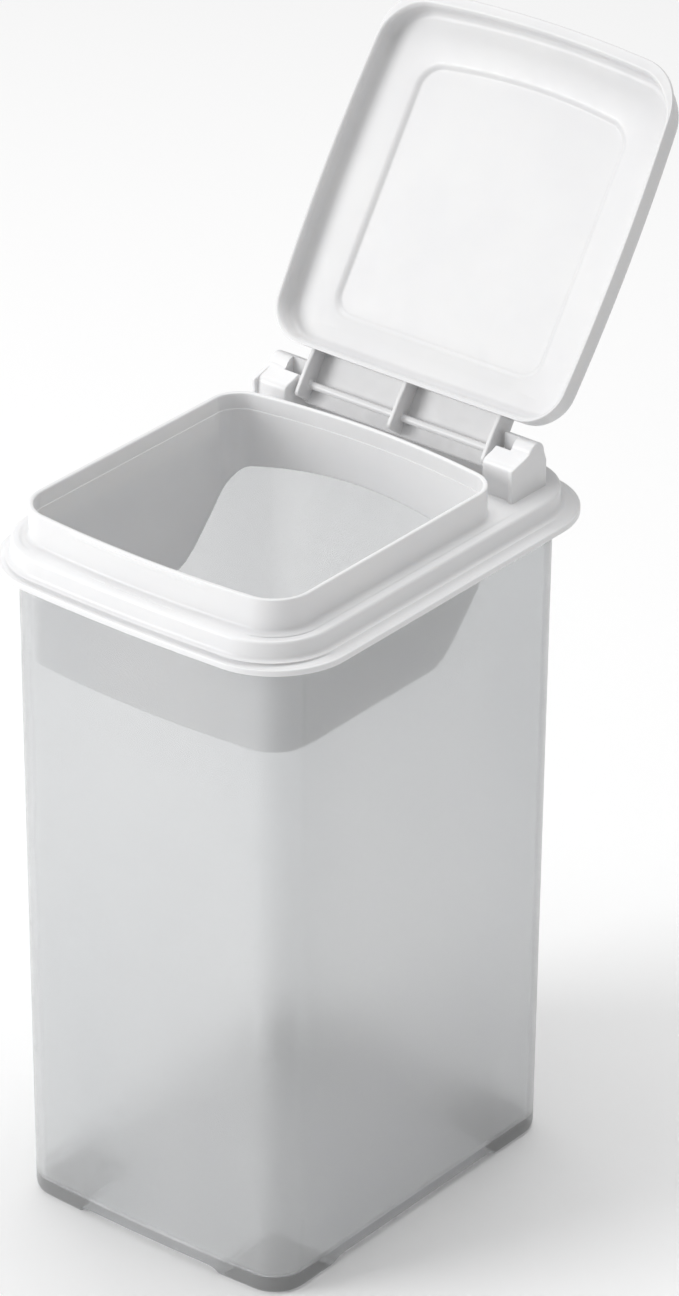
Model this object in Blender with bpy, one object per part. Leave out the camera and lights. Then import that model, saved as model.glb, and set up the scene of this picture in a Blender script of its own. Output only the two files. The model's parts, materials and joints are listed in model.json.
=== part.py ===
"""Pet food bin: a frosted container, a white clip-on collar with a pouring neck and chute, and a flip lid.

Metres, +Z up, -Y is the pouring side. The bin stands on four corner feet at Z = 0.
The flip lid is shown open, resting on its stop, and swings about the hinge axis of the collar.
"""

import math

import bmesh
import bpy

# Container: outer size at the rim, and how far each side leans in towards the floor
BIN_WIDTH = 0.1160
BIN_FRONT = -0.0752
BIN_BACK = 0.0737
BIN_HEIGHT = 0.2434
BIN_TAPER = 0.0016
BIN_CORNER = 0.0119
BIN_BOW = 0.0018
WALL = 0.0017
FLOOR_UNDERSIDE = 0.0032
FLOOR_THICKNESS = 0.0020
FLOOR_ROUND = 0.0030
INNER_FLOOR_ROUND = 0.0031
RIM_BEAD = 0.0005
RIM_BEAD_DROP = 0.0030
RIM_BEAD_HALF = 0.0012
RIM_EDGE = 0.0003
NOTCH_HALF_X = 0.0304
NOTCH_HALF_Y = 0.0440
NOTCH_EDGE = [(0.0, -0.0010), (0.0, 0.0008), (-0.0008, 0.0020), (-0.0024, 0.0028), (-0.0054, FLOOR_UNDERSIDE)]

# Collar: heights of the lip, the deck and the neck, and their plan sizes
LIP_Z = 0.2376
STEP_Z = 0.2404
DECK_Z = 0.2468
NECK_Z = 0.2583
CHUTE_Z = 0.2030
CHUTE_LEVEL_TO = 0.0065
CHUTE_SLOPE = 1.17
CHUTE_EASE = 0.0060
CHUTE_TOP_DROP = 0.0060
CHUTE_INSET = 0.0016
SHELL = 0.0016
LIP_HALF = 0.0677
LIP_FRONT = -0.0842
LIP_BACK = 0.0848
LIP_CORNER = 0.0263
LIP_BOW = 0.0029
STEP_HALF = 0.0622
STEP_FRONT = -0.0807
STEP_BACK = 0.0784
STEP_CORNER = 0.0217
STEP_BOW = 0.0026
NECK_HALF = 0.0559
NECK_FRONT = -0.0743
NECK_BACK = 0.0447
NECK_CORNER = 0.0125
NECK_BACK_CORNER = 0.0097
NECK_BOW = 0.0036
NECK_BACK_BOW = 0.0055
SNAP_BEAD = 0.0004
SNAP_BEAD_HALF = 0.0270

# Collar section, as (height, growth) steps from the lip, the step wall, the deck and the neck rim
LIP_OUTSIDE = [(-0.0010, -0.0006), (-0.0008, 0.0), (0.0006, 0.0002), (0.0013, -0.0004), (0.0018, -0.0024)]
STEP_OUTSIDE = [(0.0, 0.0013), (0.0009, 0.0003)]
DECK_EDGE = [(-0.0014, 0.0), (-0.0006, -0.0003), (-0.0002, -0.0012)]
NECK_ROOT = [(0.0001, 0.0016), (0.0005, 0.0006), (0.0014, 0.0002)]
NECK_SNAP = [(-0.0034, 0.0, 0.0), (-0.0020, 0.0, SNAP_BEAD), (-0.0008, 0.0, SNAP_BEAD)]
NECK_RIM = [(-0.0004, -0.0001), (0.0, -0.0005), (0.0, -0.0011), (-0.0005, -SHELL)]
DECK_UNDERSIDE = [(-0.0028, -CHUTE_INSET), (-0.0022, -0.0008), (-SHELL, 0.0005)]
STEP_INSIDE = [(-SHELL, -SHELL - 0.0012), (-SHELL - 0.0010, -SHELL - 0.0004)]
LIP_INSIDE = [(0.0002, -0.0024), (-0.0002, -0.0014)]

# Hinge: its axis, the two bosses on the deck and the lid's opening angle
HINGE_Y = 0.0585
HINGE_Z = 0.2570
LID_OPEN = math.radians(124.1)
BOSS_INNER = 0.0412
BOSS_OUTER = 0.0546
BOSS_FRONT = 0.0476
BOSS_BACK = 0.0662
BOSS_TOP = 0.2586
BOSS_EDGE = 0.0006
BOSS_RISE_Y = 0.0540
BOSS_RISE_Z = 0.2602
HUMP_RADIUS = 0.0040
HUMP_Y = 0.0608
HUMP_Z = 0.2598
HUMP_STEPS = 8
HUMP_BACK_Z = 0.2560
SOCKET_DEPTH = 0.0060
SOCKET_RADIUS = 0.0024
SOCKET_STEPS = 10
PIN_RADIUS = 0.0020
PIN_REACH = 0.0447
BAR_RADIUS = 0.0013
PIN_SIDES = 20

# Flip lid, drawn closed about the hinge axis: plan sizes, then heights above the axis
LID_HALF = 0.0588
LID_BELLY = 0.0022
LID_FRONT = -0.1352
LID_BACK = -0.0113
LID_CORNER = 0.0145
LID_BACK_CORNER = 0.0130
LID_BOW = 0.0037
LID_BACK_BOW = 0.0004
LID_WALL = 0.0016
LID_EDGE = -0.0054
LEAD_WIDTH = 0.0010
LEAD_RISE = 0.0013
LID_TOP = 0.0036
PANEL_HALF = 0.0410
PANEL_FRONT = -0.1154
PANEL_BACK = -0.0268
PANEL_CORNER = 0.0060
PANEL_UNDERSIDE = 0.0034
PANEL_BOW = 0.0036
TAB_REACH = 0.0028
TAB_THICKNESS = 0.0014
FLAP_HALF = 0.0396
FLAP_BACK = 0.0060
FLAP_ROOT = 0.0036
FLAP_UNDERSIDE = 0.0022
FLAP_THICKNESS = 0.0018
FLAP_EDGE = 0.0006
RIB_THICKNESS = 0.0016
RIB_BOTTOM = -0.0052
RIB_FRONT = -0.0057
RIB_BACK = 0.0050
RIB_EDGE = 0.0008

# Lid section, as (height, growth) steps below the lid's top or above its panel and its edge
PANEL_OUTSIDE = [(LID_WALL, 0.0), (0.0012, 0.0008), (0.0004, 0.0016), (0.0002, 0.0030)]
LID_OUTSIDE = [(0.0, -0.0028), (-0.0003, -0.0014), (-0.0011, -0.0005), (-0.0024, 0.0)]
SKIRT_INSIDE = [(-0.0038, -0.0002), (-0.0028, -0.0004), (-0.0020, -0.0010), (-LID_WALL, -0.0024)]
PANEL_INSIDE = [(-0.0014, 0.0016), (-0.0010, 0.0008), (0.0, 0.0)]

# The assembly's centre stands this far in front of the origin, under the middle of the open bin
BIN_Y = -0.0260

CORNER_STEPS = 6
FRONT_STEPS = 10
BACK_STEPS = 6
SIDE_STEPS = 6
SHARP_ANGLE = math.radians(35.0)

MATERIALS = {
    "frosted_plastic": ((0.80, 0.81, 0.82, 1.0), 0.45, 0.0),
    "white_plastic": ((0.90, 0.90, 0.90, 1.0), 0.28, 0.0),
}


def clear_scene():
    """Remove the objects that the scene starts with."""
    for obj in list(bpy.data.objects):
        bpy.data.objects.remove(obj, do_unlink=True)


def material(name):
    """A Principled material from its colour, roughness and metallic value."""
    colour, roughness, metallic = MATERIALS[name]
    mat = bpy.data.materials.get(name) or bpy.data.materials.new(name)
    mat.use_nodes = True
    shader = mat.node_tree.nodes["Principled BSDF"]
    shader.inputs["Base Color"].default_value = colour
    shader.inputs["Roughness"].default_value = roughness
    shader.inputs["Metallic"].default_value = metallic
    return mat


def arc(centre_x, centre_y, radius, start, steps):
    """A quarter turn of points, counter-clockwise from the start angle in degrees."""
    angles = [math.radians(start + 90.0 * i / steps) for i in range(steps + 1)]
    return [(centre_x + radius * math.cos(a), centre_y + radius * math.sin(a)) for a in angles]


def between(start, end, steps):
    """The inner points of a straight run."""
    ratios = [i / steps for i in range(1, steps)]
    return [(start[0] + (end[0] - start[0]) * t, start[1] + (end[1] - start[1]) * t) for t in ratios]


def plan(half, front, back, corner, bow=0.0, back_corner=None, back_bow=0.0, belly=0.0):
    """A rounded plan outline whose front, back and sides may bow outwards.

    The front and back bows are greatest on the centre line and die away round the corners.
    The belly widens the sides, most at mid-length.
    """
    rear = corner if back_corner is None else back_corner
    inner_front = front + bow
    inner_back = back - back_bow
    front_left = arc(-half + corner, inner_front + corner, corner, 180.0, CORNER_STEPS)
    front_right = arc(half - corner, inner_front + corner, corner, 270.0, CORNER_STEPS)
    back_right = arc(half - rear, inner_back - rear, rear, 0.0, CORNER_STEPS)
    back_left = arc(-half + rear, inner_back - rear, rear, 90.0, CORNER_STEPS)
    points = front_left + between(front_left[-1], front_right[0], FRONT_STEPS) + front_right
    points += between(front_right[-1], back_right[0], SIDE_STEPS) + back_right
    points += between(back_right[-1], back_left[0], BACK_STEPS) + back_left
    points += between(back_left[-1], front_left[0], SIDE_STEPS)
    middle, reach = (inner_front + inner_back) / 2, (inner_back - inner_front) / 2
    bowed = []
    for x, y in points:
        swell = 1.0 - (x / half) ** 2
        widen = belly * (1.0 - ((y - middle) / reach) ** 2) * x / half
        near_front = min(1.0, max(0.0, (inner_front + corner - y) / corner))
        near_back = min(1.0, max(0.0, (y - inner_back + rear) / rear))
        bowed.append((x + widen, y - bow * swell * near_front + back_bow * swell * near_back))
    return bowed


def at_height(outline, z):
    """A plan outline lifted to a height, which may be a function of y."""
    return [(x, y, z(y) if callable(z) else z) for x, y in outline]


def loft(name, rings, closed=False):
    """A closed skin through rings of equal count: capped at both ends, or joined end to end."""
    mesh_data = bmesh.new()
    loops = [[mesh_data.verts.new(point) for point in ring] for ring in rings]
    pairs = list(zip(loops, loops[1:]))
    if closed:
        pairs.append((loops[-1], loops[0]))
    for lower, upper in pairs:
        for i in range(len(lower)):
            mesh_data.faces.new((lower[i - 1], lower[i], upper[i], upper[i - 1]))
    if not closed:
        mesh_data.faces.new(loops[0])
        mesh_data.faces.new(loops[-1])
    bmesh.ops.recalc_face_normals(mesh_data, faces=mesh_data.faces)
    return finish_mesh(name, mesh_data)


def finish_mesh(name, mesh_data):
    """Turn a bmesh into a linked object."""
    mesh = bpy.data.meshes.new(name)
    mesh_data.to_mesh(mesh)
    mesh_data.free()
    obj = bpy.data.objects.new(name, mesh)
    bpy.context.scene.collection.objects.link(obj)
    return obj


def slab(name, x_from, x_to, profile):
    """A side profile of (y, z) points extruded along X."""
    mesh_data = bmesh.new()
    verts = [mesh_data.verts.new((x_from, y, z)) for y, z in profile]
    face = mesh_data.faces.new(verts)
    made = bmesh.ops.extrude_face_region(mesh_data, geom=[face])["geom"]
    moved = [item for item in made if isinstance(item, bmesh.types.BMVert)]
    bmesh.ops.translate(mesh_data, verts=moved, vec=(x_to - x_from, 0.0, 0.0))
    bmesh.ops.recalc_face_normals(mesh_data, faces=mesh_data.faces)
    return finish_mesh(name, mesh_data)


def combine(target, tool, operation):
    """Join a tool to a body, or cut it away, with a Boolean modifier."""
    modifier = target.modifiers.new(tool.name, "BOOLEAN")
    modifier.operation = operation
    modifier.solver = "EXACT"
    modifier.object = tool
    tool.hide_render = True
    tool.display_type = "WIRE"
    tool.parent = target


def dress(obj, material_name):
    """Give a finished piece its material and smooth shading with crisp edges."""
    obj.data.materials.append(material(material_name))
    obj.data.shade_smooth()
    obj.data.set_sharp_from_angle(angle=SHARP_ANGLE)


def bin_ring(z, offset=0.0):
    """The container's plan at a height, grown by an offset from its outer wall."""
    lean = BIN_TAPER * (1.0 - z / BIN_HEIGHT)
    half = BIN_WIDTH / 2 - lean + offset
    front, back = BIN_FRONT + lean - offset, BIN_BACK - lean + offset
    return at_height(plan(half, front, back, BIN_CORNER + offset, BIN_BOW), z)


def make_container():
    """The container: tapered walls, a snap bead at the rim and a raised floor between four corner feet."""
    floor = FLOOR_UNDERSIDE + FLOOR_THICKNESS
    bead = BIN_HEIGHT - RIM_BEAD_DROP
    quarter = [math.radians(30.0 * i) for i in range(4)]
    rings = []
    for turn in quarter:
        rise = FLOOR_ROUND * (1.0 - math.cos(turn))
        rings.append(bin_ring(rise, -FLOOR_ROUND * (1.0 - math.sin(turn))))
    rings.append(bin_ring(bead - RIM_BEAD_HALF))
    rings.append(bin_ring(bead, RIM_BEAD))
    rings.append(bin_ring(bead + RIM_BEAD_HALF))
    rings.append(bin_ring(BIN_HEIGHT - RIM_EDGE))
    rings.append(bin_ring(BIN_HEIGHT, -RIM_EDGE))
    rings.append(bin_ring(BIN_HEIGHT, RIM_EDGE - WALL))
    rings.append(bin_ring(BIN_HEIGHT - RIM_EDGE, -WALL))
    for turn in quarter:
        rise = INNER_FLOOR_ROUND * (1.0 - math.sin(turn))
        rings.append(bin_ring(floor + rise, -WALL - INNER_FLOOR_ROUND * (1.0 - math.cos(turn))))
    body = loft("container", rings)
    combine(body, make_notch("notch_front_to_back", NOTCH_HALF_X, math.radians(90.0)), "DIFFERENCE")
    combine(body, make_notch("notch_side_to_side", NOTCH_HALF_Y, 0.0), "DIFFERENCE")
    dress(body, "frosted_plastic")
    return body


def make_notch(name, half, turn):
    """A cutter right across the underside, which leaves a foot at each corner."""
    left = [(-half - shift, z) for shift, z in NOTCH_EDGE]
    right = [(half + shift, z) for shift, z in reversed(NOTCH_EDGE)]
    cutter = slab(name, -BIN_WIDTH, BIN_WIDTH, left + right)
    cutter.rotation_euler = (0.0, 0.0, turn)
    return cutter


def chute_edge(y):
    """Height of the chute's lower edge: level under the mouth, then sloping up to the back of the neck."""
    rise = max(0.0, y - CHUTE_LEVEL_TO)
    eased = rise - CHUTE_EASE * (1.0 - math.exp(-rise / CHUTE_EASE))
    return min(CHUTE_Z + CHUTE_SLOPE * eased, DECK_Z - CHUTE_TOP_DROP)


def lip_ring(z, offset=0.0):
    """The collar's outer lip at a height."""
    corner = LIP_CORNER + offset
    return at_height(plan(LIP_HALF + offset, LIP_FRONT - offset, LIP_BACK + offset, corner, LIP_BOW), z)


def step_ring(z, offset=0.0):
    """The step wall between the lip and the deck at a height."""
    corner = STEP_CORNER + offset
    return at_height(plan(STEP_HALF + offset, STEP_FRONT - offset, STEP_BACK + offset, corner, STEP_BOW), z)


def neck_ring(z, offset=0.0, bead=0.0):
    """The neck and chute wall at a height, with an optional bead across its front."""
    front, back = NECK_FRONT - offset, NECK_BACK + offset
    corner, rear = NECK_CORNER + offset, NECK_BACK_CORNER + offset
    outline = plan(NECK_HALF + offset, front, back, corner, NECK_BOW, rear, NECK_BACK_BOW)
    raised = [(x, y - bead if abs(x) < SNAP_BEAD_HALF and y < 0.0 else y) for x, y in outline]
    return at_height(raised, z)


def make_collar():
    """The collar: lip, step wall, deck, neck and chute as one moulding with a hinge boss at each side."""
    rings = [lip_ring(LIP_Z + rise, grow) for rise, grow in LIP_OUTSIDE]
    rings += [step_ring(STEP_Z + rise, grow) for rise, grow in STEP_OUTSIDE]
    rings += [step_ring(DECK_Z + rise, grow) for rise, grow in DECK_EDGE]
    rings += [neck_ring(DECK_Z + rise, grow) for rise, grow in NECK_ROOT]
    rings += [neck_ring(NECK_Z + rise, grow, bead) for rise, grow, bead in NECK_SNAP]
    rings += [neck_ring(NECK_Z + rise, grow) for rise, grow in NECK_RIM]
    rings.append(neck_ring(DECK_Z, -SHELL - CHUTE_INSET / 3))
    rings.append(neck_ring(chute_edge, -SHELL - CHUTE_INSET))
    rings.append(neck_ring(chute_edge, -CHUTE_INSET))
    rings += [neck_ring(DECK_Z + rise, grow) for rise, grow in DECK_UNDERSIDE]
    rings += [step_ring(DECK_Z + rise, grow) for rise, grow in STEP_INSIDE]
    rings.append(step_ring(STEP_Z - SHELL / 4, -SHELL))
    rings.append(step_ring(STEP_Z - SHELL, 0.0))
    rings += [lip_ring(LIP_Z + rise, grow) for rise, grow in LIP_INSIDE]
    body = loft("collar", rings, closed=True)
    for side in (-1, 1):
        combine(body, make_boss(side), "UNION")
        combine(body, make_socket(side), "DIFFERENCE")
    dress(body, "white_plastic")
    return body


def make_boss(side):
    """A hinge boss: a block with a gently sloping front top and a rounded hump over its back."""
    foot = DECK_Z - SHELL / 2
    profile = [(BOSS_FRONT, foot), (BOSS_FRONT, BOSS_TOP - BOSS_EDGE), (BOSS_FRONT + BOSS_EDGE, BOSS_TOP)]
    profile.append((BOSS_RISE_Y, BOSS_RISE_Z))
    for i in range(HUMP_STEPS + 1):
        turn = math.radians(160.0 - 160.0 * i / HUMP_STEPS)
        profile.append((HUMP_Y + HUMP_RADIUS * math.cos(turn), HUMP_Z + HUMP_RADIUS * math.sin(turn)))
    profile += [(BOSS_BACK, HUMP_BACK_Z), (BOSS_BACK, foot)]
    return slab("boss_%d" % side, side * BOSS_INNER, side * BOSS_OUTER, profile)


def make_socket(side):
    """The cutter for a hinge socket: round at the bottom and open at the top, so the pin snaps in."""
    sweep = [math.radians(180.0 + 180.0 * i / SOCKET_STEPS) for i in range(SOCKET_STEPS + 1)]
    profile = [(HINGE_Y + SOCKET_RADIUS * math.cos(a), HINGE_Z + SOCKET_RADIUS * math.sin(a)) for a in sweep]
    open_top = HUMP_Z + 2 * HUMP_RADIUS
    profile += [(HINGE_Y + SOCKET_RADIUS, open_top), (HINGE_Y - SOCKET_RADIUS, open_top)]
    inner, deep = BOSS_INNER - BOSS_EDGE, BOSS_INNER + SOCKET_DEPTH
    return slab("socket_%d" % side, side * inner, side * deep, profile)


def lid_outline(offset):
    """The lid's plan, grown by an offset."""
    corner, rear = LID_CORNER + offset, LID_BACK_CORNER + offset
    front, back = LID_FRONT - offset, LID_BACK + offset
    return plan(LID_HALF + offset, front, back, corner, LID_BOW, rear, LID_BACK_BOW, LID_BELLY)


def lid_ring(z, offset=0.0, tab=0.0):
    """The lid's skirt at a height above the hinge axis, with an optional thumb tab round the front."""
    raised = []
    for (x, y), (far_x, far_y) in zip(lid_outline(offset), lid_outline(offset + tab)):
        near = min(1.0, max(0.0, (LID_FRONT + LID_BOW + LID_CORNER - y) / LID_CORNER))
        share = near * near * (3.0 - 2.0 * near)
        raised.append((x + (far_x - x) * share, y + (far_y - y) * share))
    return at_height(raised, z)


def panel_ring(z, offset=0.0):
    """The crease round the lid's inner panel at a height above the hinge axis."""
    front, back = PANEL_FRONT - offset, PANEL_BACK + offset
    corner = PANEL_CORNER + offset
    return at_height(plan(PANEL_HALF + offset, front, back, corner, PANEL_BOW), z)


def make_lid():
    """The flip lid: a dished cap with a skirt, a thumb tab, and a ribbed flap that carries the hinge bar."""
    tab_top = LID_EDGE + TAB_THICKNESS
    rings = [panel_ring(PANEL_UNDERSIDE + rise, grow) for rise, grow in PANEL_OUTSIDE]
    rings += [lid_ring(LID_TOP + rise, grow) for rise, grow in LID_OUTSIDE]
    rings.append(lid_ring(tab_top + FLAP_EDGE, -FLAP_EDGE / 2))
    rings += [lid_ring(tab_top, 0.0, TAB_REACH), lid_ring(LID_EDGE, 0.0, TAB_REACH)]
    rings += [lid_ring(LID_EDGE, LEAD_WIDTH - LID_WALL), lid_ring(LID_EDGE + LEAD_RISE, -LID_WALL)]
    rings += [lid_ring(LID_TOP + rise, -LID_WALL + grow) for rise, grow in SKIRT_INSIDE]
    rings += [panel_ring(PANEL_UNDERSIDE + rise, grow) for rise, grow in PANEL_INSIDE]
    body = loft("flip_lid", rings)
    combine(body, make_flap(), "UNION")
    for x in (-FLAP_HALF + RIB_THICKNESS / 2, 0.0, FLAP_HALF - RIB_THICKNESS / 2):
        combine(body, make_rib(x), "UNION")
    combine(body, make_pins(), "UNION")
    dress(body, "white_plastic")
    return body


def make_flap():
    """The plate behind the skirt, between the two bosses."""
    low, high = FLAP_UNDERSIDE, FLAP_UNDERSIDE + FLAP_THICKNESS
    front = LID_BACK - FLAP_ROOT
    profile = [(front, low), (FLAP_BACK, low), (FLAP_BACK, high - FLAP_EDGE)]
    profile += [(FLAP_BACK - FLAP_EDGE, high), (front, high)]
    return slab("hinge_flap", -FLAP_HALF, FLAP_HALF, profile)


def make_rib(x):
    """A gusset under the flap that holds the hinge bar."""
    root = LID_BACK - LID_WALL / 2
    top = FLAP_UNDERSIDE + FLAP_THICKNESS / 2
    profile = [(root, LID_EDGE + RIB_EDGE), (RIB_FRONT - RIB_EDGE, RIB_BOTTOM + RIB_EDGE)]
    profile += [(RIB_FRONT, RIB_BOTTOM), (RIB_BACK - RIB_EDGE, RIB_BOTTOM)]
    profile += [(RIB_BACK, RIB_BOTTOM + RIB_EDGE), (FLAP_BACK - FLAP_EDGE, top), (root, top)]
    return slab("rib_%+d" % round(x * 1000), x - RIB_THICKNESS / 2, x + RIB_THICKNESS / 2, profile)


def make_pins():
    """The hinge bar, slimmer between the outer ribs, whose ends are the pins that turn in the sockets."""
    inner = FLAP_HALF - RIB_THICKNESS
    stations = [(-PIN_REACH, PIN_RADIUS), (-inner, PIN_RADIUS), (-inner, BAR_RADIUS)]
    stations += [(-x, radius) for x, radius in reversed(stations)]
    turn = [2.0 * math.pi * i / PIN_SIDES for i in range(PIN_SIDES)]
    return loft("hinge_pins", [[(x, r * math.cos(a), r * math.sin(a)) for a in turn] for x, r in stations])


def main():
    """Build the three mouldings and stand them on the ground, the lid open on its hinge."""
    clear_scene()
    centre = bpy.data.objects.new("bin_centre", None)
    bpy.context.scene.collection.objects.link(centre)
    centre.location = (0.0, BIN_Y, 0.0)
    for piece in (make_container(), make_collar()):
        piece.parent = centre
    hinge = bpy.data.objects.new("lid_hinge", None)
    bpy.context.scene.collection.objects.link(hinge)
    hinge.parent = centre
    hinge.location = (0.0, HINGE_Y, HINGE_Z)
    hinge.rotation_euler = (-LID_OPEN, 0.0, 0.0)
    make_lid().parent = hinge


main()
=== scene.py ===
"""Looks of the pet food bin: finer mouldings for its three pieces, their plastics, and a plain studio.

Metres, +Z up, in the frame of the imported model. The pouring side faces -Y.
"""

import json
import math

import bmesh
import bpy
from mathutils import Matrix, Vector


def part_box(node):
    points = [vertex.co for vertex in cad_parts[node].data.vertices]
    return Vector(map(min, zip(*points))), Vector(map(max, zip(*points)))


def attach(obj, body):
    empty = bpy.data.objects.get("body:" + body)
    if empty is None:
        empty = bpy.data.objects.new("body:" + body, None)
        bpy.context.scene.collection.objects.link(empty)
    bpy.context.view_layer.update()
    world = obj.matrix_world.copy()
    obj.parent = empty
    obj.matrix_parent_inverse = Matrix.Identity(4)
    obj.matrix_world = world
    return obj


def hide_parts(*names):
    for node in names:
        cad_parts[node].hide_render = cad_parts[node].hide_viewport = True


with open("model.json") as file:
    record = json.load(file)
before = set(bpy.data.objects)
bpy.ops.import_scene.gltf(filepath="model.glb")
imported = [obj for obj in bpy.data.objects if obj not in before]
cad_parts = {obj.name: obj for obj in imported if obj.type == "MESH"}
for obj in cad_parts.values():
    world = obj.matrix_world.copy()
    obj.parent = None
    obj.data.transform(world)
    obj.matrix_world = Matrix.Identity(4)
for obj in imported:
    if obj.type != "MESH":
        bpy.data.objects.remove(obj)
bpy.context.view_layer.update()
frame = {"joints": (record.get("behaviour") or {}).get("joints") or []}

# Container: outer size at the rim, and how far each side leans in towards the floor
BIN_WIDTH = 0.1160
BIN_FRONT = -0.0752
BIN_BACK = 0.0737
BIN_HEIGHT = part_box("container")[1].z
BIN_TAPER = 0.0016
BIN_CORNER = 0.0119
BIN_BOW = 0.0018
WALL = 0.0017
FLOOR_UNDERSIDE = 0.0032
FLOOR_THICKNESS = 0.0020
FLOOR_ROUND = 0.0030
INNER_FLOOR_ROUND = 0.0031
RIM_BEAD = 0.0005
RIM_BEAD_DROP = 0.0030
RIM_BEAD_HALF = 0.0012
RIM_EDGE = 0.0004
NOTCH_HALF_X = 0.0304
NOTCH_HALF_Y = 0.0440
NOTCH_SPREAD = 0.0054
NOTCH_STEPS = 8
FLOOR_CAP = 1.5 * FLOOR_ROUND

# Collar: heights of the lip, the deck and the neck, and their plan sizes
LIP_Z = 0.2376
STEP_Z = 0.2404
DECK_Z = 0.2468
NECK_Z = 0.2583
CHUTE_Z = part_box("collar")[0].z
CHUTE_LEVEL_TO = 0.0065
CHUTE_SLOPE = 1.17
CHUTE_EASE = 0.0060
CHUTE_TOP_DROP = 0.0060
CHUTE_INSET = 0.0016
SHELL = 0.0016
LIP_HALF = 0.0677
LIP_FRONT = -0.0842
LIP_BACK = 0.0848
LIP_CORNER = 0.0263
LIP_BOW = 0.0029
STEP_HALF = 0.0622
STEP_FRONT = -0.0807
STEP_BACK = 0.0784
STEP_CORNER = 0.0217
STEP_BOW = 0.0026
NECK_HALF = 0.0559
NECK_FRONT = -0.0743
NECK_BACK = 0.0447
NECK_CORNER = 0.0125
NECK_BACK_CORNER = 0.0097
NECK_BOW = 0.0036
NECK_BACK_BOW = 0.0055
SNAP_BEAD = 0.0004
SNAP_BEAD_HALF = 0.0270
SNAP_BEAD_END = 0.0005

# Collar sections, from its outer edge inwards: (outward growth, height above the named level), then
# how far each inner corner is rounded off
LIP_SECTION = [(-0.0024, 0.0002), (-0.0014, -0.0001), (-0.0010, -0.0010), (0.0002, -0.0010)]
LIP_SECTION += [(0.0002, 0.0013), (-0.0012, 0.0011), (-0.0030, 0.0019)]
LIP_ROUNDS = [0.0005, 0.0004, 0.0005, 0.0007, 0.0006]
STEP_SECTION = [(0.0020, STEP_Z - 0.0002), (0.0003, STEP_Z), (0.0, DECK_Z - 0.0002)]
STEP_SECTION.append((-0.0034, DECK_Z - 0.0001))
STEP_ROUNDS = [0.0014, 0.0011]
NECK_ROOT = [(0.0030, DECK_Z), (0.0, DECK_Z + 0.0002), (0.0, NECK_Z - 0.0034)]
NECK_ROOT_ROUND = 0.0014
BEAD_SHARES = [(-0.0024, 0.0), (-0.0021, 0.7), (-0.0018, 1.0), (-0.0011, 1.0), (-0.0008, 0.8)]
NECK_RIM = [(0.0, -0.0006), (0.0, 0.0), (-SHELL, 0.0), (-SHELL - 0.0001, -0.0056)]
NECK_RIM_ROUNDS = [0.0006, 0.0007]
RIM_LINE_DROP = 0.0058
RIM_LINE_STEP = 0.0003
CHUTE_SHARES = (0.25, 0.5, 0.75)
CHUTE_LIP = 0.0010
CHUTE_LIP_ROUND = 0.0006
DECK_UNDERSIDE = [(-CHUTE_INSET, -0.0040), (-CHUTE_INSET, -SHELL - 0.0002), (0.0015, -SHELL)]
DECK_UNDERSIDE_ROUND = 0.0008
STEP_INSIDE = [(-SHELL - 0.0030, DECK_Z - SHELL), (-SHELL - 0.0002, DECK_Z - SHELL - 0.0002)]
STEP_INSIDE += [(-SHELL, STEP_Z - 0.0012), (0.0006, STEP_Z - SHELL)]
STEP_INSIDE_ROUNDS = [0.0010, 0.0008]

# Hinge bosses on the deck
BOSS_INNER = 0.0412
BOSS_OUTER = 0.0546
BOSS_CHEEK = 0.0018
BOSS_RECESS = 0.0014
BOSS_NOSE = 0.0022
BOSS_OVERLAP = 0.0001
BOSS_FRONT = 0.0476
BOSS_BACK = 0.0662
BOSS_TOP = 0.2586
BOSS_EDGE = 0.0006
BOSS_RISE_Y = 0.0540
BOSS_RISE_Z = 0.2602
BOSS_BEVEL = 0.0005
HUMP_RADIUS = 0.0040
HUMP_Y = 0.0608
HUMP_Z = 0.2598
HUMP_TURN = 160.0
HUMP_STEPS = 16
HUMP_BACK_Z = 0.2560
SOCKET_DEPTH = 0.0060
SOCKET_RADIUS = 0.0024
SOCKET_STEPS = 20
PIN_RADIUS = 0.0020
PIN_REACH = 0.0447
BAR_RADIUS = 0.0013
PIN_SIDES = 40
PIN_BEVEL = 0.0006

# Flip lid, drawn closed about the hinge axis: plan sizes, then heights above the axis
LID_HALF = 0.0588
LID_BELLY = 0.0022
LID_FRONT = -0.1352
LID_BACK = -0.0113
LID_CORNER = 0.0145
LID_BACK_CORNER = 0.0130
LID_BOW = 0.0037
LID_BACK_BOW = 0.0004
LID_WALL = 0.0016
LID_EDGE = -0.0054
LID_TOP = 0.0036
PANEL_HALF = 0.0410
PANEL_FRONT = -0.1154
PANEL_BACK = -0.0268
PANEL_CORNER = 0.0060
PANEL_UNDERSIDE = 0.0034
PANEL_BOW = 0.0036
TAB_REACH = 0.0028
SNAP_RIDGE = 0.0003
FLAP_HALF = 0.0396
FLAP_BACK = 0.0060
FLAP_ROOT = 0.0036
FLAP_UNDERSIDE = 0.0022
FLAP_THICKNESS = 0.0018
FLAP_EDGE = 0.0006
RIB_THICKNESS = 0.0016
RIB_BOTTOM = -0.0052
RIB_FRONT = -0.0057
RIB_BACK = 0.0050
RIB_EDGE = 0.0008
RIB_ROUND = 0.0015
FLAP_BEVEL = 0.0004

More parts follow.
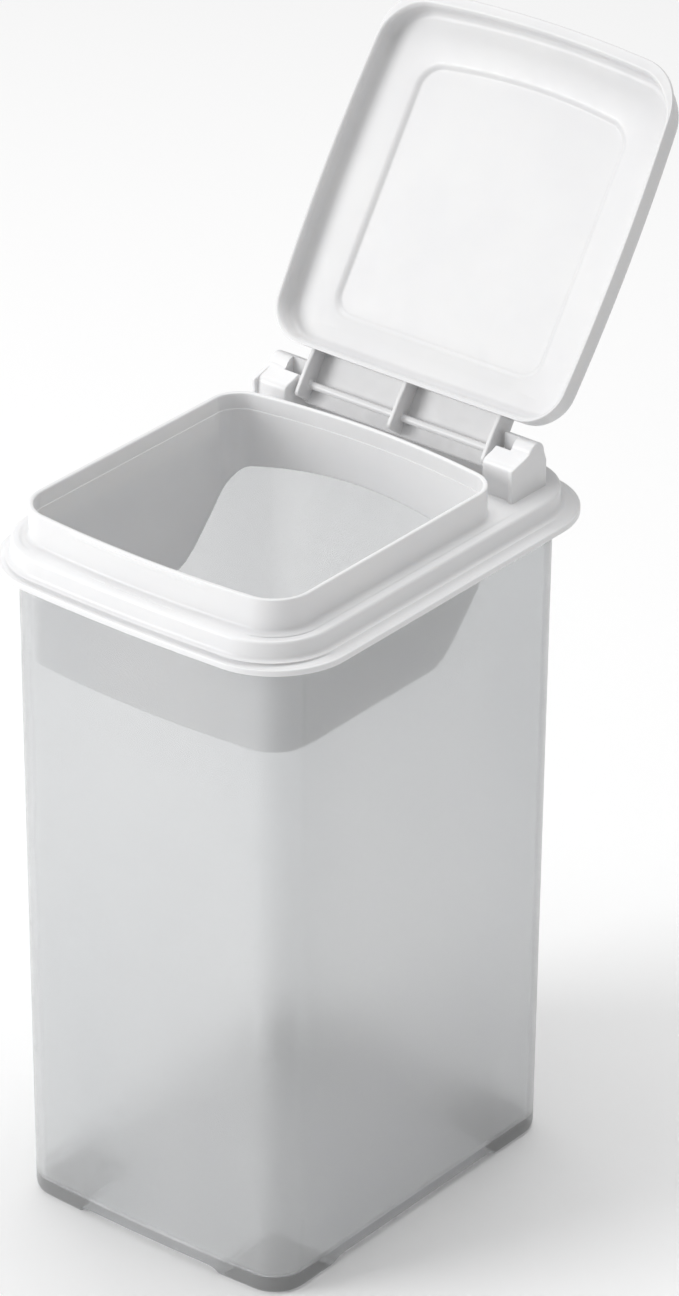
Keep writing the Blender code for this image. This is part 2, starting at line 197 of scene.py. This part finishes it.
# Lid sections: (outward growth, height above the hinge axis or above the skirt's edge)
BORDER_Z = LID_TOP - LID_WALL
PANEL_OUT_Z = PANEL_UNDERSIDE + LID_WALL
PANEL_OUTSIDE = [(-0.0030, PANEL_OUT_Z), (0.0003, PANEL_OUT_Z), (0.0016, LID_TOP + 0.0002), (0.0050, LID_TOP)]
PANEL_OUTSIDE_ROUNDS = [0.0008, 0.0009]
SHOULDER = [(-0.0070, LID_TOP), (0.0, LID_TOP), (0.0, LID_EDGE + 0.0022)]
SHOULDER_ROUND = 0.0032
TAB_SHARES = [(0.0016, 0.15), (0.0014, 0.55), (0.00135, 0.88), (0.0011, 1.0), (0.0005, 1.0), (0.0001, 0.92)]
SKIRT_EDGE = [(-0.0001, 0.00005), (-0.0004, 0.0), (-0.0008, 0.00015), (-0.0012, 0.0006)]
SKIRT_EDGE.append((-LID_WALL + 0.0001, 0.0013))
RIDGE_SHARES = [(0.0016, 0.0), (0.0020, 0.0), (0.0024, 1.0), (0.0028, 1.0), (0.0032, 0.0)]
SKIRT_INSIDE = [(-LID_WALL - 0.0001, LID_EDGE + 0.0038), (-LID_WALL - 0.0004, BORDER_Z)]
SKIRT_INSIDE.append((-LID_WALL - 0.0070, BORDER_Z))
SKIRT_INSIDE_ROUND = 0.0026
PANEL_INSIDE = [(0.0060, BORDER_Z + 0.0001), (0.0019, BORDER_Z + 0.0003), (0.0004, PANEL_UNDERSIDE)]
PANEL_INSIDE.append((-0.0030, PANEL_UNDERSIDE))
PANEL_INSIDE_ROUNDS = [0.0012, 0.0005]

# Mesh fineness: points along each stretch of an outline, and round each corner of a section
CORNER_STEPS = 16
FRONT_STEPS = 36
BACK_STEPS = 24
SIDE_STEPS = 24
FILLET_STEPS = 5
BEVEL_STEPS = 3
SHARED_SIDE = 0.49
END_SIDE = 0.95
SHARP_ANGLE = math.radians(38.0)

# Plastics: base tones, gloss and grain
COLLAR_TONE = 0.82
# The lid is the same white plastic as the collar; its lower tone is painted shade, standing in for less light
# falling on the lid
LID_TONE_WITH_PAINTED_SHADE = 0.72
COLLAR_GRAIN = 0.000004
LID_GRAIN = 0.000003
CLOUD_TONE = (0.975, 0.975, 0.985)
WORN_TONE = 1.03
PLASTIC_IOR = 1.49
FROSTED_MILKY = (0.93, 0.94, 0.95, 1.0)
FROSTED_CLEARER = (0.98, 0.985, 0.99, 1.0)

# Studio: lights as (name, place, size, power), and the pale surround
LIGHTS = [("key", (-1.6, -2.2, 1.1), 1.4, 46.0), ("overhead", (-0.2, 0.3, 2.3), 1.6, 26.0)]
FLOOR_HALF = 6.0
FLOOR_COLOUR = (0.98, 0.98, 0.98, 1.0)
FLOOR_ROUGHNESS = 0.9
WORLD_COLOUR = (1.0, 1.0, 1.0, 1.0)
WORLD_STRENGTH = 0.44

# Camera: where it aims, from where, and how wide it sees
AIM_AHEAD = 0.0272
AIM_Z = 0.1839
VIEW_AZIMUTH = math.radians(38.605)
VIEW_ELEVATION = math.radians(28.383)
VIEW_ROLL = math.radians(0.36)
VIEW_DISTANCE = 2.245
LENS = 188.8

HINGE = next(joint for joint in frame["joints"] if joint["name"] == "lid_hinge")
HINGE_AXIS = Vector(HINGE["pos_m"])
LID_OPEN = math.radians(HINGE["range_deg"][1])
BIN_Y = sum(corner.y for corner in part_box("container")) / 2 - (BIN_FRONT + BIN_BACK) / 2


# ---- outlines ----


def arc(centre_x, centre_y, radius, start):
    """A quarter turn of points, counter-clockwise from the start angle in degrees."""
    angles = [math.radians(start + 90.0 * i / CORNER_STEPS) for i in range(CORNER_STEPS + 1)]
    return [(centre_x + radius * math.cos(a), centre_y + radius * math.sin(a)) for a in angles]


def between(start, end, steps):
    """The inner points of a straight run."""
    ratios = [i / steps for i in range(1, steps)]
    return [(start[0] + (end[0] - start[0]) * t, start[1] + (end[1] - start[1]) * t) for t in ratios]


def plan(half, front, back, corner, bow=0.0, back_corner=None, back_bow=0.0, belly=0.0):
    """A rounded plan outline whose front, back and sides may bow outwards.

    The front and back bows are greatest on the centre line and die away round the corners.
    The belly widens the sides, most at mid-length.
    """
    rear = corner if back_corner is None else back_corner
    inner_front = front + bow
    inner_back = back - back_bow
    front_left = arc(-half + corner, inner_front + corner, corner, 180.0)
    front_right = arc(half - corner, inner_front + corner, corner, 270.0)
    back_right = arc(half - rear, inner_back - rear, rear, 0.0)
    back_left = arc(-half + rear, inner_back - rear, rear, 90.0)
    points = front_left + between(front_left[-1], front_right[0], FRONT_STEPS) + front_right
    points += between(front_right[-1], back_right[0], SIDE_STEPS) + back_right
    points += between(back_right[-1], back_left[0], BACK_STEPS) + back_left
    points += between(back_left[-1], front_left[0], SIDE_STEPS)
    middle, reach = (inner_front + inner_back) / 2, (inner_back - inner_front) / 2
    bowed = []
    for x, y in points:
        swell = 1.0 - (x / half) ** 2
        widen = belly * (1.0 - ((y - middle) / reach) ** 2) * x / half
        near_front = min(1.0, max(0.0, (inner_front + corner - y) / corner))
        near_back = min(1.0, max(0.0, (y - inner_back + rear) / rear))
        bowed.append((x + widen, y - bow * swell * near_front + back_bow * swell * near_back))
    return bowed


def smooth_share(value):
    """A share from 0 to 1 that starts and ends gently."""
    held = min(1.0, max(0.0, value))
    return held * held * (3.0 - 2.0 * held)


def at_height(outline, z):
    """A plan outline lifted to a height, which may be a function of y."""
    return [(x, y, z(y) if callable(z) else z) for x, y in outline]


def rounded(path, reaches):
    """A path whose inner corners are rounded off, each from a given reach before it to as far after it.

    A corner takes less than half of a side that it shares with another, and most of an end side.
    """
    points = [path[0]]
    for i, reach in enumerate(reaches, start=1):
        before, corner, after = Vector(path[i - 1]), Vector(path[i]), Vector(path[i + 1])
        room_before = (corner - before).length * (END_SIDE if i == 1 else SHARED_SIDE)
        room_after = (after - corner).length * (END_SIDE if i == len(reaches) else SHARED_SIDE)
        reach = min(reach, room_before, room_after)
        if not reach:
            points.append(path[i])
            continue
        start = corner + (before - corner).normalized() * reach
        end = corner + (after - corner).normalized() * reach
        for step in range(FILLET_STEPS + 1):
            t = step / FILLET_STEPS
            spot = start * (1 - t) ** 2 + corner * (2 * t * (1 - t)) + end * t ** 2
            points.append((spot.x, spot.y))
    points.append(path[-1])
    return points


# ---- meshes ----


def finish_mesh(name, mesh_data):
    """Turn a bmesh into a linked object."""
    mesh = bpy.data.meshes.new(name)
    mesh_data.to_mesh(mesh)
    mesh_data.free()
    obj = bpy.data.objects.new(name, mesh)
    bpy.context.scene.collection.objects.link(obj)
    return obj


def loft(name, rings, closed=False):
    """A closed skin through rings of equal count: capped at both ends, or joined end to end."""
    mesh_data = bmesh.new()
    loops = [[mesh_data.verts.new(point) for point in ring] for ring in rings]
    pairs = list(zip(loops, loops[1:]))
    if closed:
        pairs.append((loops[-1], loops[0]))
    for lower, upper in pairs:
        for i in range(len(lower)):
            mesh_data.faces.new((lower[i - 1], lower[i], upper[i], upper[i - 1]))
    if not closed:
        mesh_data.faces.new(loops[0])
        mesh_data.faces.new(loops[-1])
    bmesh.ops.recalc_face_normals(mesh_data, faces=mesh_data.faces)
    return finish_mesh(name, mesh_data)


def slab(name, x_from, x_to, profile, bevel=0.0):
    """A side profile of (y, z) points extruded along X, with its sharp edges rounded by a bevel."""
    mesh_data = bmesh.new()
    verts = [mesh_data.verts.new((x_from, y, z)) for y, z in profile]
    face = mesh_data.faces.new(verts)
    made = bmesh.ops.extrude_face_region(mesh_data, geom=[face])["geom"]
    moved = [item for item in made if isinstance(item, bmesh.types.BMVert)]
    bmesh.ops.translate(mesh_data, verts=moved, vec=(x_to - x_from, 0.0, 0.0))
    bmesh.ops.recalc_face_normals(mesh_data, faces=mesh_data.faces)
    obj = finish_mesh(name, mesh_data)
    if bevel:
        rounding = obj.modifiers.new("rounded_edges", "BEVEL")
        rounding.width = bevel
        rounding.segments = BEVEL_STEPS
        rounding.limit_method = "ANGLE"
        rounding.angle_limit = SHARP_ANGLE
    return obj


def combine(target, tool, operation):
    """Join a tool to a body, or cut it away, and then drop the tool."""
    modifier = target.modifiers.new(tool.name, "BOOLEAN")
    modifier.operation = operation
    modifier.solver = "EXACT"
    modifier.object = tool
    settle(target)
    bpy.data.objects.remove(tool, do_unlink=True)


def settle(obj):
    """Replace an object's mesh by what its modifiers make of it."""
    graph = bpy.context.evaluated_depsgraph_get()
    made = bpy.data.meshes.new_from_object(obj.evaluated_get(graph))
    obj.modifiers.clear()
    obj.data = made


def dress(obj, plastic, body, node, place):
    """Put a finished moulding in place, give it its plastic, and let it stand for its CAD node."""
    obj.data.transform(place)
    obj.data.materials.clear()
    obj.data.materials.append(plastic)
    obj.data.shade_smooth()
    obj.data.set_sharp_from_angle(angle=SHARP_ANGLE)
    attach(obj, body)
    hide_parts(node)


# ---- container ----


def bin_ring(z, offset=0.0):
    """The container's plan at a height, grown by an offset from its outer wall."""
    lean = BIN_TAPER * (1.0 - z / BIN_HEIGHT)
    half = BIN_WIDTH / 2 - lean + offset
    front, back = BIN_FRONT + lean - offset, BIN_BACK - lean + offset
    return at_height(plan(half, front, back, BIN_CORNER + offset, BIN_BOW), z)


def make_container():
    """The container: tapered walls, a snap bead at the rim and a raised floor between four corner feet."""
    floor = FLOOR_UNDERSIDE + FLOOR_THICKNESS
    bead = BIN_HEIGHT - RIM_BEAD_DROP
    outside = [(-FLOOR_CAP, 0.0), (0.0, 0.0), (0.0, BIN_HEIGHT / 3), (0.0, bead - 2 * RIM_BEAD_HALF)]
    rim = [(0.0, bead - RIM_BEAD_HALF), (RIM_BEAD, bead), (0.0, bead + RIM_BEAD_HALF), (0.0, BIN_HEIGHT)]
    rim += [(-WALL, BIN_HEIGHT), (-WALL, BIN_HEIGHT / 2), (-WALL, floor)]
    rim.append((-WALL - 2 * INNER_FLOOR_ROUND, floor))
    section = rounded(outside, [FLOOR_ROUND, 0.0]) + rounded(rim, [RIM_EDGE] * 4 + [0.0, INNER_FLOOR_ROUND])
    body = loft("container_frosted", [bin_ring(z, grow) for grow, z in section])
    combine(body, make_notch("notch_front_to_back", NOTCH_HALF_X, math.radians(90.0)), "DIFFERENCE")
    combine(body, make_notch("notch_side_to_side", NOTCH_HALF_Y, 0.0), "DIFFERENCE")
    return body


def make_notch(name, half, turn):
    """A cutter right across the underside, with sides that curve up into the raised floor."""
    right = [(half, -FLOOR_UNDERSIDE)]
    for i in range(NOTCH_STEPS + 1):
        t = i / NOTCH_STEPS
        right.append((half - NOTCH_SPREAD * t ** 2, FLOOR_UNDERSIDE * (1.0 - (1.0 - t) ** 2)))
    left = [(-y, z) for y, z in reversed(right)]
    cutter = slab(name, -BIN_WIDTH, BIN_WIDTH, right + left)
    cutter.data.transform(Matrix.Rotation(turn, 4, "Z"))
    return cutter


# ---- collar ----


def chute_edge(y):
    """Height of the chute's lower edge: level under the mouth, then sloping up to the back of the neck."""
    rise = max(0.0, y - CHUTE_LEVEL_TO)
    eased = rise - CHUTE_EASE * (1.0 - math.exp(-rise / CHUTE_EASE))
    return min(CHUTE_Z + CHUTE_SLOPE * eased, DECK_Z - CHUTE_TOP_DROP)


def chute_height(share, lift=0.0):
    """A height function of y: a share of the way from the chute's lower edge up to the deck."""
    return lambda y: chute_edge(y) + lift + (DECK_Z - chute_edge(y)) * share


def lip_ring(z, offset=0.0):
    """The collar's outer lip at a height."""
    corner = LIP_CORNER + offset
    return at_height(plan(LIP_HALF + offset, LIP_FRONT - offset, LIP_BACK + offset, corner, LIP_BOW), z)


def step_ring(z, offset=0.0):
    """The step wall between the lip and the deck at a height."""
    corner = STEP_CORNER + offset
    return at_height(plan(STEP_HALF + offset, STEP_FRONT - offset, STEP_BACK + offset, corner, STEP_BOW), z)


def neck_ring(z, offset=0.0, bead=0.0):
    """The neck and chute wall at a height, with an optional bead across its front."""
    front, back = NECK_FRONT - offset, NECK_BACK + offset
    corner, rear = NECK_CORNER + offset, NECK_BACK_CORNER + offset
    outline = plan(NECK_HALF + offset, front, back, corner, NECK_BOW, rear, NECK_BACK_BOW)
    raised = []
    for x, y in outline:
        share = smooth_share((SNAP_BEAD_HALF - abs(x)) / SNAP_BEAD_END) if y < 0.0 else 0.0
        raised.append((x, y - bead * share))
    return at_height(raised, z)


def make_collar():
    """The collar: lip, step wall, deck, neck and chute as one moulding with a hinge boss at each side."""
    rings = [lip_ring(LIP_Z + rise, grow) for grow, rise in rounded(LIP_SECTION, LIP_ROUNDS)]
    rings += [step_ring(z, grow) for grow, z in rounded(STEP_SECTION, STEP_ROUNDS)]
    rings += [neck_ring(z, grow) for grow, z in rounded(NECK_ROOT, [NECK_ROOT_ROUND])]
    rings += [neck_ring(NECK_Z + drop, 0.0, SNAP_BEAD * share) for drop, share in BEAD_SHARES]
    rings += [neck_ring(NECK_Z + rise, grow) for grow, rise in rounded(NECK_RIM, NECK_RIM_ROUNDS)]
    rings.append(neck_ring(NECK_Z - RIM_LINE_DROP, -SHELL - RIM_LINE_STEP))

    rings.append(neck_ring(DECK_Z, -SHELL - CHUTE_INSET / 3))
    for share in reversed(CHUTE_SHARES):
        rings.append(neck_ring(chute_height(share), -SHELL - CHUTE_INSET * (1.0 - share * 2 / 3)))
    lower_edge = [(-SHELL, CHUTE_LIP), (-SHELL, 0.0), (0.0, 0.0), (0.0, CHUTE_LIP)]
    for grow, lift in rounded(lower_edge, [CHUTE_LIP_ROUND] * 2):
        rings.append(neck_ring(chute_height(0.0, lift), grow - CHUTE_INSET))
    for share in CHUTE_SHARES:
        rings.append(neck_ring(chute_height(share), -CHUTE_INSET))

    under = rounded(DECK_UNDERSIDE, [DECK_UNDERSIDE_ROUND])
    rings += [neck_ring(DECK_Z + rise, grow) for grow, rise in under]
    rings += [step_ring(z, grow) for grow, z in rounded(STEP_INSIDE, STEP_INSIDE_ROUNDS)]
    body = loft("collar_moulding", rings, closed=True)
    for side in (-1, 1):
        boss = make_boss(side)
        combine(boss, make_socket(side), "DIFFERENCE")
        combine(body, boss, "UNION")
    return body


def boss_profile(front, nose):
    """The side view of a boss from its front face, whose top edge is rounded by the nose radius."""
    foot = DECK_Z - SHELL / 2
    slope = (BOSS_RISE_Z - BOSS_TOP) / (BOSS_RISE_Y - BOSS_FRONT)
    corner = [(front, foot), (front, BOSS_TOP), (BOSS_RISE_Y, BOSS_TOP + slope * (BOSS_RISE_Y - front))]
    profile = rounded(corner, [nose])
    for i in range(HUMP_STEPS + 1):
        turn = math.radians(HUMP_TURN - HUMP_TURN * i / HUMP_STEPS)
        profile.append((HUMP_Y + HUMP_RADIUS * math.cos(turn), HUMP_Z + HUMP_RADIUS * math.sin(turn)))
    return profile + [(BOSS_BACK, HUMP_BACK_Z), (BOSS_BACK, foot)]


def make_boss(side):
    """A hinge boss: a block with a round nose, and a cheek on its outer side that stands forward of it."""
    inner, outer = side * (BOSS_OUTER - BOSS_CHEEK), side * BOSS_OUTER
    cheek = slab("boss_cheek", inner, outer, boss_profile(BOSS_FRONT, BOSS_EDGE), BOSS_BEVEL)
    inner, outer = side * BOSS_INNER, side * (BOSS_OUTER - BOSS_BEVEL - BOSS_OVERLAP)
    block = slab("boss_block", inner, outer, boss_profile(BOSS_FRONT + BOSS_RECESS, BOSS_NOSE), BOSS_BEVEL)
    settle(cheek)
    combine(block, cheek, "UNION")
    return block


def make_socket(side):
    """The cutter for a hinge socket: round at the bottom and open at the top, so the pin snaps in."""
    axis_y, axis_z = HINGE_AXIS.y - BIN_Y, HINGE_AXIS.z
    sweep = [math.radians(180.0 + 180.0 * i / SOCKET_STEPS) for i in range(SOCKET_STEPS + 1)]
    profile = [(axis_y + SOCKET_RADIUS * math.cos(a), axis_z + SOCKET_RADIUS * math.sin(a)) for a in sweep]
    open_top = HUMP_Z + 2 * HUMP_RADIUS
    profile += [(axis_y + SOCKET_RADIUS, open_top), (axis_y - SOCKET_RADIUS, open_top)]
    return slab("socket", side * (BOSS_INNER - BOSS_EDGE), side * (BOSS_INNER + SOCKET_DEPTH), profile)


# ---- flip lid ----


def lid_outline(offset):
    """The lid's plan, grown by an offset."""
    corner, rear = LID_CORNER + offset, LID_BACK_CORNER + offset
    front, back = LID_FRONT - offset, LID_BACK + offset
    return plan(LID_HALF + offset, front, back, corner, LID_BOW, rear, LID_BACK_BOW, LID_BELLY)


def lid_ring(z, offset=0.0, tab=0.0, ridge=0.0):
    """The lid's skirt at a height above the hinge axis.

    The tab reaches outwards round the front, and the ridge inwards across the middle of the front.
    """
    raised = []
    for (x, y), (far_x, far_y) in zip(lid_outline(offset), lid_outline(offset + tab)):
        share = smooth_share((LID_FRONT + LID_BOW + LID_CORNER - y) / LID_CORNER)
        inwards = smooth_share((SNAP_BEAD_HALF - abs(x)) / SNAP_BEAD_END) * share
        raised.append((x + (far_x - x) * share, y + (far_y - y) * share + ridge * inwards))
    return at_height(raised, z)


def panel_ring(z, offset=0.0):
    """The crease round the lid's panel at a height above the hinge axis."""
    front, back = PANEL_FRONT - offset, PANEL_BACK + offset
    corner = PANEL_CORNER + offset
    return at_height(plan(PANEL_HALF + offset, front, back, corner, PANEL_BOW), z)


def make_lid():
    """The flip lid: a cap whose panel is sunk inside and raised outside, with a skirt, tab and hinge flap."""
    rings = [panel_ring(z, grow) for grow, z in rounded(PANEL_OUTSIDE, PANEL_OUTSIDE_ROUNDS)]
    rings += [lid_ring(z, grow) for grow, z in rounded(SHOULDER, [SHOULDER_ROUND])]
    rings += [lid_ring(LID_EDGE + rise, 0.0, TAB_REACH * share) for rise, share in TAB_SHARES]
    rings += [lid_ring(LID_EDGE + rise, grow) for grow, rise in SKIRT_EDGE]
    for rise, share in RIDGE_SHARES:
        rings.append(lid_ring(LID_EDGE + rise, -LID_WALL, 0.0, SNAP_RIDGE * share))
    rings += [lid_ring(z, grow) for grow, z in rounded(SKIRT_INSIDE, [SKIRT_INSIDE_ROUND])]
    rings += [panel_ring(z, grow) for grow, z in rounded(PANEL_INSIDE, PANEL_INSIDE_ROUNDS)]
    body = loft("flip_lid_moulding", rings)
    combine(body, make_flap(), "UNION")
    for x in (-FLAP_HALF + RIB_THICKNESS / 2, 0.0, FLAP_HALF - RIB_THICKNESS / 2):
        combine(body, make_rib(x), "UNION")
    combine(body, make_pins(), "UNION")
    return body


def make_flap():
    """The plate behind the skirt, between the two bosses."""
    low, high = FLAP_UNDERSIDE, FLAP_UNDERSIDE + FLAP_THICKNESS
    front = LID_BACK - FLAP_ROOT
    profile = [(front, low), (FLAP_BACK, low), (FLAP_BACK, high), (front, high)]
    plate = slab("hinge_flap", -FLAP_HALF, FLAP_HALF, profile, FLAP_BEVEL)
    settle(plate)
    return plate


def make_rib(x):
    """A gusset under the flap that holds the hinge bar."""
    root = LID_BACK - LID_WALL / 2
    top = FLAP_UNDERSIDE + FLAP_THICKNESS / 2
    outline = [(root, LID_EDGE + RIB_EDGE), (RIB_FRONT, RIB_BOTTOM), (RIB_BACK, RIB_BOTTOM)]
    outline += [(FLAP_BACK - FLAP_EDGE, top), (root, top)]
    profile = rounded(outline, [RIB_ROUND, RIB_ROUND, 0.0])
    rib = slab("hinge_rib", x - RIB_THICKNESS / 2, x + RIB_THICKNESS / 2, profile, FLAP_BEVEL)
    settle(rib)
    return rib


def make_pins():
    """The hinge bar, slimmer between the outer ribs, whose ends are the pins that turn in the sockets."""
    inner = -FLAP_HALF + RIB_THICKNESS
    stations = [(-PIN_REACH, PIN_RADIUS - PIN_BEVEL), (-PIN_REACH + PIN_BEVEL, PIN_RADIUS)]
    stations += [(inner, PIN_RADIUS), (inner + PIN_BEVEL, BAR_RADIUS)]
    stations += [(-x, radius) for x, radius in reversed(stations)]
    turn = [2.0 * math.pi * i / PIN_SIDES for i in range(PIN_SIDES)]
    return loft("hinge_bar", [[(x, r * math.cos(a), r * math.sin(a)) for a in turn] for x, r in stations])


# ---- materials ----


class Plastic:
    """A node material on one Principled shader, built from noise in object space."""

    def __init__(self, name):
        self.material = bpy.data.materials.new(name)
        self.material.use_nodes = True
        self.tree = self.material.node_tree
        self.shader = self.tree.nodes["Principled BSDF"]
        self.place = self.tree.nodes.new("ShaderNodeTexCoord")

    def set(self, **values):
        """Constant values straight on the shader's own sockets."""
        for name, value in values.items():
            self.shader.inputs[name.replace("_", " ")].default_value = value

    def noise(self, scale, detail=3.0, stretch=(1.0, 1.0, 1.0)):
        """A noise pattern with features of about 1 / scale metres, stretched along an axis."""
        mapping = self.tree.nodes.new("ShaderNodeMapping")
        mapping.inputs["Scale"].default_value = stretch
        noise = self.tree.nodes.new("ShaderNodeTexNoise")
        noise.inputs["Scale"].default_value = scale
        noise.inputs["Detail"].default_value = detail
        self.tree.links.new(self.place.outputs["Object"], mapping.inputs["Vector"])
        self.tree.links.new(mapping.outputs["Vector"], noise.inputs["Vector"])
        return noise.outputs["Fac"]

    def spread(self, source, low, high, start=0.35, end=0.65):
        """A pattern's range from start to end turned into values from low to high."""
        node = self.tree.nodes.new("ShaderNodeMapRange")
        node.inputs["From Min"].default_value = start
        node.inputs["From Max"].default_value = end
        node.inputs["To Min"].default_value = low
        node.inputs["To Max"].default_value = high
        self.tree.links.new(source, node.inputs["Value"])
        return node.outputs["Result"]

    def blend(self, share, first, second):
        """A colour between two others, by a pattern. Each colour is four numbers or a socket."""
        node = self.tree.nodes.new("ShaderNodeMix")
        node.data_type = "RGBA"
        self.tree.links.new(share, node.inputs["Factor"])
        for name, colour in (("A", first), ("B", second)):
            socket = next(s for s in node.inputs if s.name == name and s.type == "RGBA")
            if isinstance(colour, tuple):
                socket.default_value = colour
            else:
                self.tree.links.new(colour, socket)
        return next(s for s in node.outputs if s.type == "RGBA")

    def wear(self, start, end):
        """A share that is high on convex edges."""
        geometry = self.tree.nodes.new("ShaderNodeNewGeometry")
        return self.spread(geometry.outputs["Pointiness"], 0.0, 1.0, start, end)

    def bump(self, layers):
        """Bumps from (pattern, height in metres) layers, one on top of another."""
        below = None
        for source, height in layers:
            node = self.tree.nodes.new("ShaderNodeBump")
            node.inputs["Distance"].default_value = height
            node.inputs["Strength"].default_value = 1.0
            self.tree.links.new(source, node.inputs["Height"])
            if below:
                self.tree.links.new(below, node.inputs["Normal"])
            below = node.outputs["Normal"]
        self.tree.links.new(below, self.shader.inputs["Normal"])

    def link(self, source, name):
        """Feed a pattern to one of the shader's sockets."""
        self.tree.links.new(source, self.shader.inputs[name])


def white_plastic(name, tone, grain):
    """Semi-gloss white polypropylene: faint clouding, uneven gloss, mould grain and lighter worn edges."""
    plastic = Plastic(name)
    base = (tone, tone, tone * 1.004, 1.0)
    cloud = tuple(tone * share for share in CLOUD_TONE) + (1.0,)
    rubbed = (tone * WORN_TONE, tone * WORN_TONE, tone * WORN_TONE, 1.0)
    mottled = plastic.blend(plastic.spread(plastic.noise(38.0), 0.0, 1.0), base, cloud)
    plastic.link(plastic.blend(plastic.wear(0.52, 0.60), mottled, rubbed), "Base Color")
    plastic.link(plastic.spread(plastic.noise(260.0, 4.0), 0.30, 0.38), "Roughness")
    fine = plastic.noise(2600.0, 2.0)
    plastic.bump([(plastic.noise(40.0, 0.0), 0.00003), (fine, grain)])
    plastic.set(IOR=PLASTIC_IOR, Subsurface_Weight=0.20, Subsurface_Scale=0.0025)
    plastic.shader.inputs["Subsurface Radius"].default_value = (1.0, 0.92, 0.85)
    return plastic.material


def frosted_plastic(name):
    """Natural milky polypropylene that lets blurred light through, with soft flow marks up the walls."""
    plastic = Plastic(name)
    flow = plastic.spread(plastic.noise(22.0, 0.0, (1.0, 1.0, 0.25)), 0.0, 1.0, 0.2, 0.8)
    plastic.link(plastic.blend(flow, FROSTED_MILKY, FROSTED_CLEARER), "Base Color")
    plastic.bump([(plastic.noise(900.0, 1.0), 0.000006)])
    plastic.set(IOR=PLASTIC_IOR, Roughness=0.24, Transmission_Weight=0.76)
    return plastic.material


# ---- studio ----


def make_studio():
    """A pale floor, a pale surround and soft light, strongest from the front left."""
    mesh_data = bmesh.new()
    bmesh.ops.create_grid(mesh_data, x_segments=1, y_segments=1, size=FLOOR_HALF)
    floor = finish_mesh("studio_floor", mesh_data)
    floor_material = bpy.data.materials.new("studio_floor")
    floor_material.use_nodes = True
    shader = floor_material.node_tree.nodes["Principled BSDF"]
    shader.inputs["Base Color"].default_value = FLOOR_COLOUR
    shader.inputs["Roughness"].default_value = FLOOR_ROUGHNESS
    floor.data.materials.append(floor_material)

    world = bpy.data.worlds.new("studio")
    world.use_nodes = True
    surround = world.node_tree.nodes["Background"]
    surround.inputs["Color"].default_value = WORLD_COLOUR
    surround.inputs["Strength"].default_value = WORLD_STRENGTH
    bpy.context.scene.world = world
    bpy.context.scene.view_settings.view_transform = "Standard"

    for name, place, size, power in LIGHTS:
        add_light(name, place, size, power)


def add_light(name, place, size, power):
    """A square softbox that faces the bin."""
    data = bpy.data.lights.new(name, "AREA")
    data.size = size
    data.energy = power
    light = bpy.data.objects.new(name, data)
    light.location = place
    aim = Vector((0.0, 0.0, AIM_Z)) - Vector(place)
    light.rotation_euler = aim.to_track_quat("-Z", "Y").to_euler()
    bpy.context.scene.collection.objects.link(light)


def make_camera():
    """The camera at the viewing angle, with a long lens."""
    data = bpy.data.cameras.new("camera")
    data.lens = LENS
    camera = bpy.data.objects.new("camera", data)
    bpy.context.scene.collection.objects.link(camera)
    level = math.cos(VIEW_ELEVATION)
    sine, cosine = math.sin(VIEW_AZIMUTH), math.cos(VIEW_AZIMUTH)
    back = Vector((sine * level, -cosine * level, math.sin(VIEW_ELEVATION)))
    right = Vector((cosine, sine, 0.0))
    axes = Matrix((right, back.cross(right), back)).transposed().to_4x4()
    aim = Vector((0.0, BIN_Y + AIM_AHEAD, AIM_Z))
    roll = Matrix.Rotation(VIEW_ROLL, 4, back)
    camera.matrix_world = Matrix.Translation(aim + back * VIEW_DISTANCE) @ roll @ axes
    bpy.context.scene.camera = camera


def main():
    """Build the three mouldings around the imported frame, then the studio."""
    centre = Matrix.Translation((0.0, BIN_Y, 0.0))
    opened = Matrix.Translation(HINGE_AXIS) @ Matrix.Rotation(-LID_OPEN, 4, "X")
    frosted = frosted_plastic("frosted_polypropylene")
    dress(make_container(), frosted, "container", "container", centre)
    white = white_plastic("collar_polypropylene", COLLAR_TONE, COLLAR_GRAIN)
    dress(make_collar(), white, "collar", "collar", centre)
    # The lid's plastic is the collar's white plastic with its tone lowered as painted shade
    lid_white_painted_shade = white_plastic("lid_polypropylene_painted_shade", LID_TONE_WITH_PAINTED_SHADE, LID_GRAIN)
    dress(make_lid(), lid_white_painted_shade, "flip_lid", "flip_lid", opened)
    make_studio()
    make_camera()


main()
